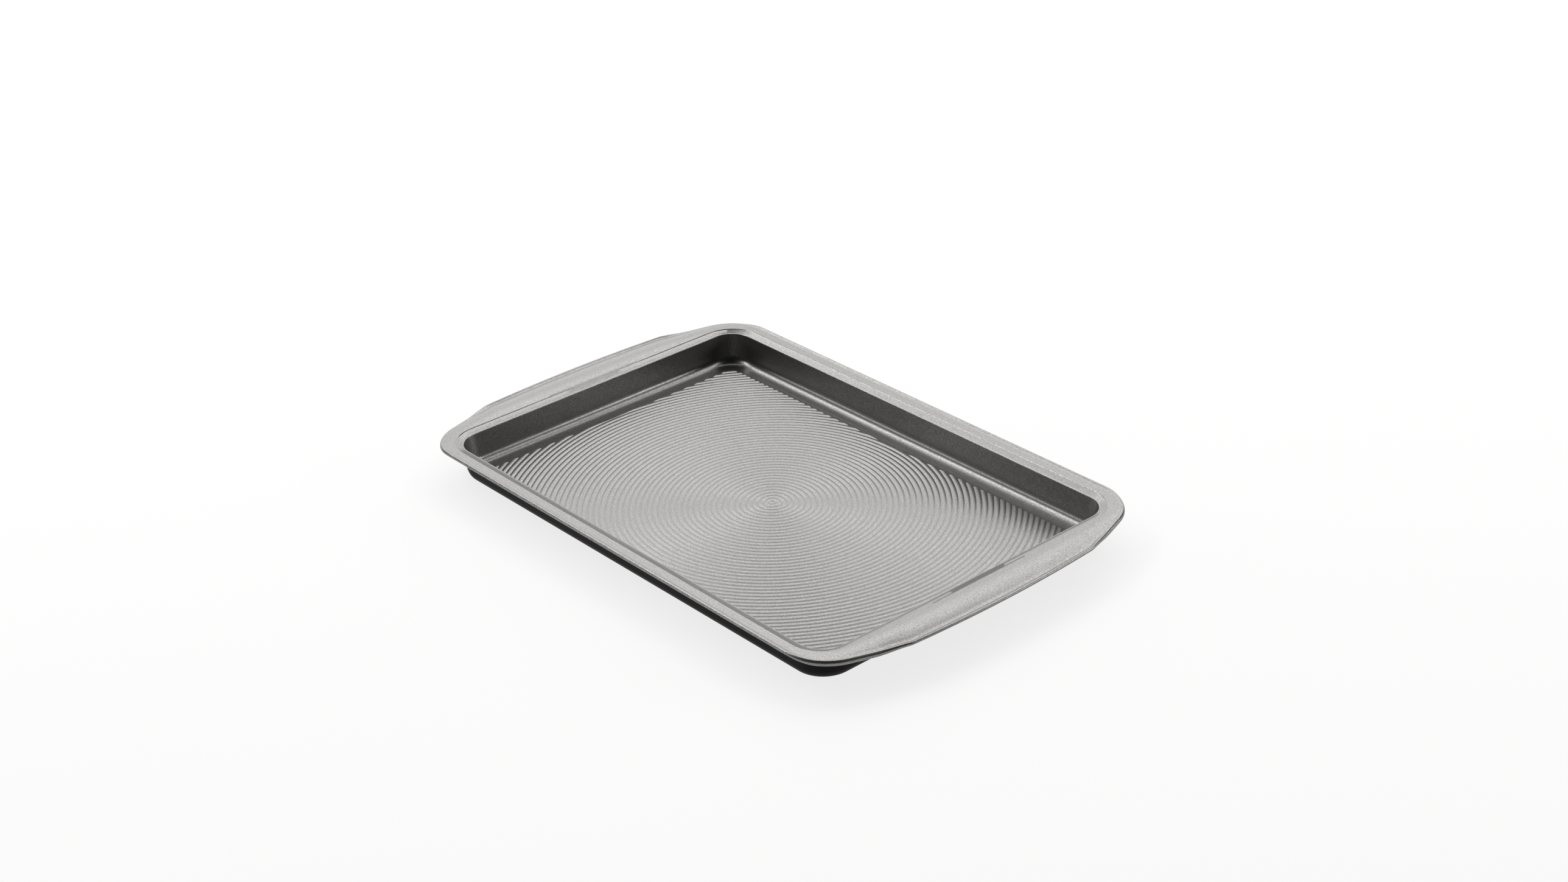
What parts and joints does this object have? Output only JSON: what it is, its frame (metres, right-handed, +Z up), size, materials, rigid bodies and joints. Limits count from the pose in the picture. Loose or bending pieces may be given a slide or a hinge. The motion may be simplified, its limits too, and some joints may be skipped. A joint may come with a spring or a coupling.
{
  "type": "cookie sheet",
  "caption": "Shallow rectangular steel baking pan with drafted walls, a floor pressed with concentric rings, a rolled rim and a flat handle at each short end, for baking food in an oven.",
  "frame": {"origin": "middle of the underside, on the surface that the pan rests on", "axes": "+Z up, +X along the length from handle to handle, +Y along the width"},
  "size_m": [0.4434, 0.2874, 0.0272],
  "materials": {
    "coated_steel": "grey non-stick coating, satin, with a fine metallic fleck",
    "wire_steel": "bare drawn wire"
  },
  "bodies": {
    "root": {"pan_shell": "coated_steel", "rim_wire": "wire_steel"}
  },
  "joints": []
}
